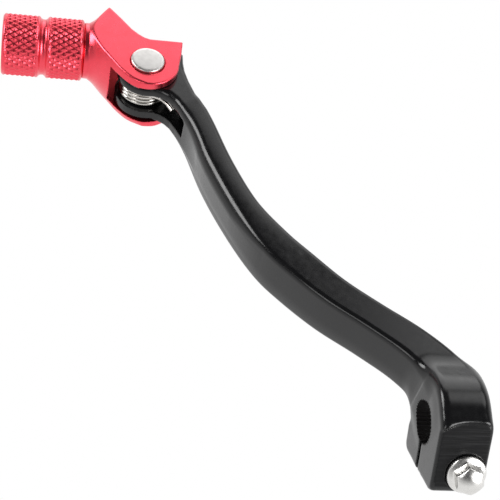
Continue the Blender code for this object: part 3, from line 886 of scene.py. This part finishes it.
def red_anodise():
    coat = {"Coat_Weight": 0.5, "Coat_Roughness": 0.28, "Coat_IOR": 1.8}
    made = shader("red_anodise", (0.86, 0.04, 0.075), 0.3, 1.0, **coat)
    cloud = spread(made, noise(made, 260.0), 0.0, 1.0)
    feed(made, "Base Color", tint(made, cloud, (0.84, 0.036, 0.068), (0.89, 0.044, 0.08)))
    feed(made, "Roughness", spread(made, noise(made, 800.0), 0.26, 0.35))
    feed(made, "Normal", bump(made, noise(made, 2200.0, 2.0), 0.000002, 0.6))
    return made


def throat_shade_red():
    """The red in the clevis's slot, left rough by the cutter, with a much darker colour that paints in the shade
    of the recess.
    """
    made = shader("throat_shade_red", (0.22, 0.008, 0.012), 0.5, 1.0)
    feed(made, "Roughness", spread(made, noise(made, 900.0), 0.44, 0.58))
    feed(made, "Normal", bump(made, noise(made, 1600.0), 0.000005, 0.7))
    return made


def bright_steel():
    made = shader("bright_steel", (0.72, 0.71, 0.69), 0.3, 1.0)
    cloud = spread(made, noise(made, 400.0), 0.0, 1.0)
    feed(made, "Base Color", tint(made, cloud, (0.69, 0.68, 0.66), (0.75, 0.74, 0.72)))
    feed(made, "Roughness", spread(made, noise(made, 700.0), 0.25, 0.35))
    feed(made, "Normal", bump(made, noise(made, 900.0), 0.000002, 0.6))
    return made


def satin_steel():
    made = shader("satin_steel", (0.60, 0.585, 0.57), 0.35, 1.0)
    cloud = spread(made, noise(made, 500.0), 0.0, 1.0)
    feed(made, "Base Color", tint(made, cloud, (0.57, 0.555, 0.54), (0.63, 0.615, 0.60)))
    feed(made, "Roughness", spread(made, noise(made, 900.0), 0.3, 0.42))
    feed(made, "Normal", bump(made, noise(made, 1500.0), 0.000003, 0.7))
    return made


def spring_steel():
    made = shader("spring_steel", (0.62, 0.595, 0.56), 0.2, 1.0)
    feed(made, "Roughness", spread(made, noise(made, 900.0), 0.14, 0.26))
    feed(made, "Normal", bump(made, noise(made, 1200.0), 0.000002, 0.6))
    return made


def dark_steel():
    made = shader("dark_steel", (0.05, 0.05, 0.055), 0.38, 1.0)
    feed(made, "Roughness", spread(made, noise(made, 1200.0), 0.3, 0.48))
    feed(made, "Normal", bump(made, noise(made, 2000.0), 0.000003, 0.6))
    return made


def bronze():
    made = shader("bronze", (0.55, 0.36, 0.14), 0.35, 1.0)
    feed(made, "Roughness", spread(made, noise(made, 1500.0), 0.28, 0.45))
    feed(made, "Normal", bump(made, noise(made, 2000.0), 0.000004, 0.6))
    return made


# ---------------------------------------------------------------- pieces


def stand_for(piece, node_name, body, material):
    """Gives a piece its material, and puts it on its body in place of its CAD node."""
    if not piece.data.materials:
        piece.data.materials.append(material)
    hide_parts(node_name)
    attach(piece, body)


def make_arm(materials):
    low, high = node_box("lever_arm")
    arm = sculpt("lever_arm_forging", arm_field, low - 1.5, high + 1.5, ARM_CELL)
    cut(arm, splined_bore())
    arm.data.materials.clear()
    for name in ("gloss_black", "machined_black", "bore_black"):
        arm.data.materials.append(materials[name])
    normals = np.array([f.normal for f in arm.data.polygons])
    centres = np.array([f.center for f in arm.data.polygons]) / MM
    faces_bolt = normals @ CLAMP_E > 0.995
    at_seat = np.abs(centres @ CLAMP_E - SEAT) < 0.35
    seat = faces_bolt & at_seat
    in_bore = np.hypot(centres[:, 0], centres[:, 2]) < BORE_RADIUS + 0.05
    bore = in_bore & (centres[:, 1] < 0.1)
    arm.data.polygons.foreach_set("material_index", np.where(seat, 1, np.where(bore, 2, 0)))
    arm.data.shade_smooth()
    arm.data.set_sharp_from_angle(angle=math.radians(32))
    stand_for(arm, "lever_arm", ARM_BODY, None)


def make_clevis(materials):
    tip = sculpt("tip_clevis", tip_field, TIP_LOW - 1, TIP_HIGH + 1, TIP_CELL)
    tip.data.materials.append(materials["red_anodise"])
    tip.data.materials.append(materials["throat_shade_red"])
    centres = np.array([f.center for f in tip.data.polygons]) / MM
    middle, half = (TIP_HIGH[2] + TIP_LOW[2]) / 2, (TIP_HIGH[2] - TIP_LOW[2]) / 2
    # Faces inside the throat get the darker red: painted shade for the recess between the cheeks.
    inner = np.abs(centres[:, 2] - middle) < half - CHEEK_THICKNESS + 0.1
    inner &= centres[:, 1] - PIVOT[1] < THROAT + 0.1
    tip.data.polygons.foreach_set("material_index", np.where(inner, 1, 0))
    stand_for(tip, "tip_body", TOE_BODY, None)


def make_spring(materials):
    spring = tube("return_spring_wire", spring_route(), WIRE / 2)
    spring.data.materials.append(materials["spring_steel"])
    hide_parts("return_spring")
    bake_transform(spring)


def make_pieces(materials):
    make_arm(materials)
    steel, red = materials["bright_steel"], materials["red_anodise"]
    low, high = node_box("clamp_bolt")
    bolt = sculpt("clamp_bolt_head", bolt_field, low - 1, high + 1, BOLT_CELL, 40)
    stand_for(bolt, "clamp_bolt", ARM_BODY, steel)

    make_clevis(materials)
    peg = turned("peg_sleeve", peg_profile(), (PEG_X, 0, PEG_Z), "y", KNURL_TEETH * 8, knurl)
    stand_for(peg, "knurled_peg", TOE_BODY, red)
    pin = turned("pivot_pin_turned", pin_profile(), (PIVOT[0], PIVOT[1], 0), "z", 160)
    stand_for(pin, "pivot_pin", TOE_BODY, materials["satin_steel"])

    small = [
        ("pin_washer", washer_field, "bright_steel"),
        ("retaining_ring", ring_field, "dark_steel"),
        ("peg_screw", screw_field, "dark_steel"),
    ]
    for name, field, slot in small:
        low, high = node_box(name)
        piece = sculpt(name + "_fine", field, low - 0.8, high + 0.8, SMALL_CELL, 40)
        stand_for(piece, name, TOE_BODY, materials[slot])
    make_spring(materials)

    # The bushes, the collar and the lock washer keep their CAD shapes.
    kept = {
        "upper_bush": "bronze",
        "lower_bush": "bronze",
        "spring_collar": "bright_steel",
        "peg_lock_washer": "spring_steel",
    }
    for name, slot in kept.items():
        mesh = frame["nodes"][name].data
        mesh.materials.clear()
        mesh.materials.append(materials[slot])


# ---------------------------------------------------------------- floor, light and camera


def make_floor():
    """A plain pale floor under the lever."""
    reach, level = FLOOR_REACH / MM, cad_low.z / MM - FLOOR_DROP
    corners = [(x * reach, y * reach, level) for x, y in ((-1, -1), (1, -1), (1, 1), (-1, 1))]
    floor = mesh_piece("floor", corners, [[0, 1, 2, 3]])
    white = bpy.data.materials.new("pale_floor")
    white.use_nodes = True
    tree = white.node_tree
    tree.nodes.clear()
    glow = tree.nodes.new("ShaderNodeEmission")
    glow.inputs["Color"].default_value = (1, 1, 1, 1)
    glow.inputs["Strength"].default_value = 1.0
    out = tree.nodes.new("ShaderNodeOutputMaterial")
    tree.links.new(glow.outputs[0], out.inputs["Surface"])
    floor.data.materials.append(white)


def softbox(name, towards, reach, brightness):
    """An oval soft light a metre away, in the given direction from the lever's middle, with its
    width level. reach is half its width and half its height as seen from there, in degrees;
    brightness is its radiance."""
    light = bpy.data.lights.new(name, "AREA")
    light.shape = "ELLIPSE"
    light.size, light.size_y = (2 * math.tan(math.radians(r)) for r in reach)
    light.energy = brightness * math.pi * math.pi * light.size * light.size_y / 4
    holder = bpy.data.objects.new(name, light)
    bpy.context.scene.collection.objects.link(holder)
    direction = Vector(towards).normalized()
    level = Vector((0, 0, 1)).cross(direction).normalized()
    facing = Matrix((level, direction.cross(level), direction)).transposed().to_4x4()
    holder.matrix_world = Matrix.Translation((cad_low + cad_high) / 2 + direction) @ facing


def make_light():
    """The softboxes, and a dim room with broad glows that fade towards their edges."""
    world = bpy.data.worlds.new("studio")
    bpy.context.scene.world = world
    world.use_nodes = True
    place = node(world, "ShaderNodeTexCoord").outputs["Generated"]
    total = node(world, "ShaderNodeValue").outputs[0]
    total.default_value = ROOM
    for towards, inner, outer, brightness in GLOWS:
        turned_to = node(world, "ShaderNodeVectorMath", _0=place)
        turned_to.operation = "DOT_PRODUCT"
        turned_to.inputs[1].default_value = Vector(towards).normalized()
        fade = node(world, "ShaderNodeMapRange", Value=turned_to.outputs["Value"])
        fade.interpolation_type = "SMOOTHSTEP"
        limits = (math.cos(math.radians(outer)), math.cos(math.radians(inner)), 0.0, brightness)
        for socket, number in zip(("From Min", "From Max", "To Min", "To Max"), limits):
            fade.inputs[socket].default_value = number
        total = node(world, "ShaderNodeMath", _0=total, _1=fade.outputs["Result"]).outputs[0]
    background = world.node_tree.nodes["Background"]
    background.inputs["Color"].default_value = (1, 1, 1, 1)
    world.node_tree.links.new(total, background.inputs["Strength"])
    for softbox_values in SOFTBOXES:
        softbox(*softbox_values)


def make_camera():
    camera = bpy.data.objects.new("camera", bpy.data.cameras.new("camera"))
    bpy.context.scene.collection.objects.link(camera)
    right = CAMERA_RIGHT.normalized()
    back = right.cross(CAMERA_UP).normalized()
    up = back.cross(right)
    facing = Matrix((right, up, back)).transposed().to_4x4()
    camera.matrix_world = Matrix.Translation(CAMERA_PLACE) @ facing
    camera.data.lens = CAMERA_LENS
    camera.data.sensor_width = 36.0
    camera.data.clip_start = 0.01
    bpy.context.scene.camera = camera
    bpy.context.scene.view_settings.view_transform = "Standard"


MATERIALS = [
    gloss_black, machined_black, bore_black, red_anodise, throat_shade_red,
    bright_steel, satin_steel, spring_steel, dark_steel, bronze,
]

make_camera()
make_pieces({made.__name__: made() for made in MATERIALS})
make_floor()
make_light()
